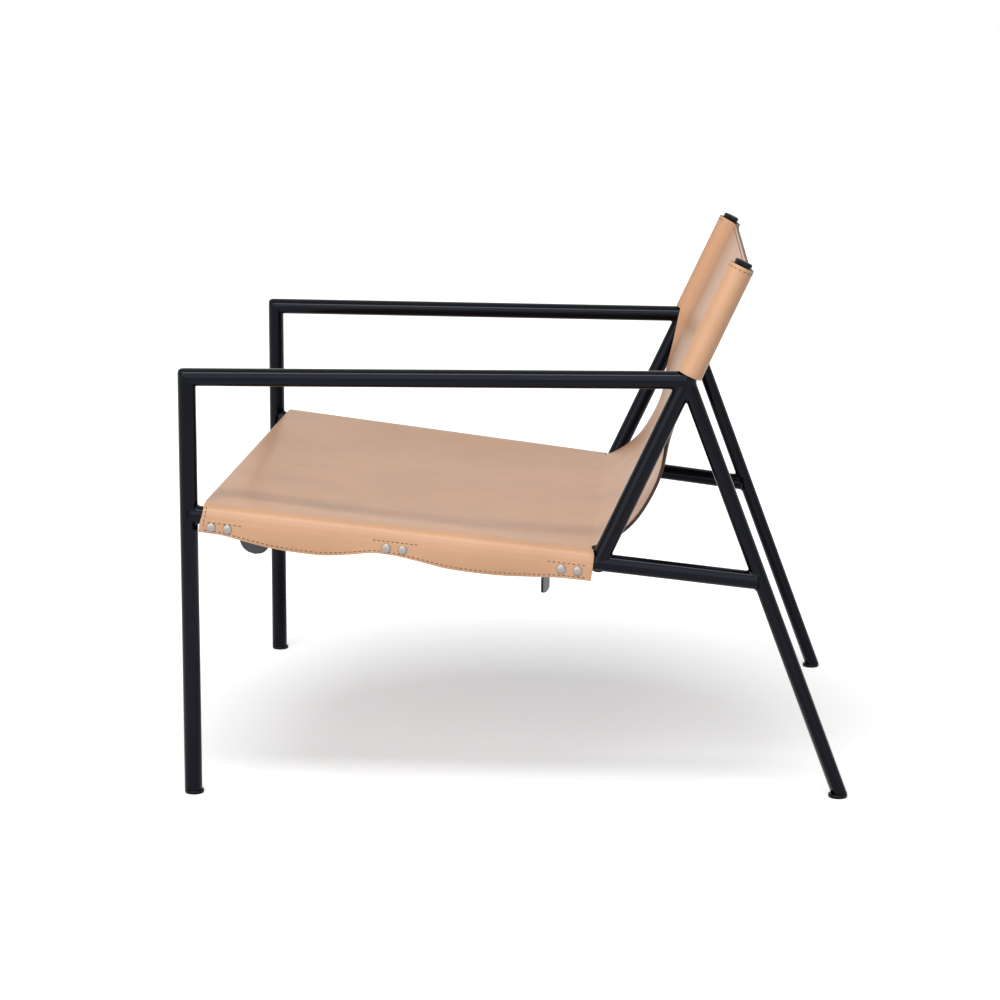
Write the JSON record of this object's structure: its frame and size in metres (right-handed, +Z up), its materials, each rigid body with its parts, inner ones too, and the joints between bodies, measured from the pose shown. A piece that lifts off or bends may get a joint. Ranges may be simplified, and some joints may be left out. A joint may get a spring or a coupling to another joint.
{
  "type": "sling lounge chair",
  "caption": "Low lounge chair with a round-tube frame, level arms and a leather sling wrapped over the seat rails and back posts, drawn tight by buckled straps.",
  "frame": {"origin": "on the floor, under the middle of the chair's bounding box", "axes": "+Z up, the chair faces -Y, +X is the sitter's left"},
  "size_m": [0.7772, 0.827, 0.67],
  "materials": {
    "frame_black": "satin black powder coat",
    "plug_black": "matte black plastic",
    "leather_tan": "natural tan saddle leather, low sheen, dark cut edges",
    "leather_black": "black strap leather, low sheen",
    "bare_steel": "nickel-plated, soft shine"
  },
  "bodies": {
    "chair": {"left_front_leg": "frame_black", "left_arm": "frame_black", "left_rear_leg": "frame_black", "left_seat_rail": "frame_black", "left_back_post": "frame_black", "left_front_glide": "plug_black", "left_rear_glide": "plug_black", "left_post_plug": "plug_black", "right_front_leg": "frame_black", "right_arm": "frame_black", "right_rear_leg": "frame_black", "right_seat_rail": "frame_black", "right_back_post": "frame_black", "right_front_glide": "plug_black", "right_rear_glide": "plug_black", "right_post_plug": "plug_black", "front_cross_tube": "frame_black", "rear_cross_tube": "frame_black", "sling": "leather_tan", "left_front_rivet_1": "bare_steel", "left_front_rivet_2": "bare_steel", "left_middle_rivet_1": "bare_steel", "left_middle_rivet_2": "bare_steel", "left_rear_rivet_1": "bare_steel", "left_rear_rivet_2": "bare_steel", "right_front_rivet_1": "bare_steel", "right_front_rivet_2": "bare_steel", "right_middle_rivet_1": "bare_steel", "right_middle_rivet_2": "bare_steel", "right_rear_rivet_1": "bare_steel", "right_rear_rivet_2": "bare_steel", "front_short_strap": "leather_black", "front_long_strap": "leather_black", "front_buckle": "bare_steel", "front_keeper": "leather_black", "middle_short_strap": "leather_black", "middle_long_strap": "leather_black", "middle_buckle": "bare_steel", "middle_keeper": "leather_black", "rear_short_strap": "leather_black", "rear_long_strap": "leather_black", "rear_buckle": "bare_steel", "rear_keeper": "leather_black"},
    "front_prong_pin": {"front_prong": "bare_steel"},
    "middle_prong_pin": {"middle_prong": "bare_steel"},
    "rear_prong_pin": {"rear_prong": "bare_steel"}
  },
  "joints": [
    {"name": "front_prong_turn", "type": "hinge", "parent": "chair", "child": "front_prong_pin", "pos_m": [0.078, -0.36363, 0.32954], "axis": [0, -0.9936, 0.1134], "range_deg": [0, 35]},
    {"name": "middle_prong_turn", "type": "hinge", "parent": "chair", "child": "middle_prong_pin", "pos_m": [0.078, -0.15083, 0.30523], "axis": [0, -0.9936, 0.1134], "range_deg": [0, 35]},
    {"name": "rear_prong_turn", "type": "hinge", "parent": "chair", "child": "rear_prong_pin", "pos_m": [0.078, 0.06197, 0.28091], "axis": [0, -0.9936, 0.1134], "range_deg": [0, 35]}
  ]
}
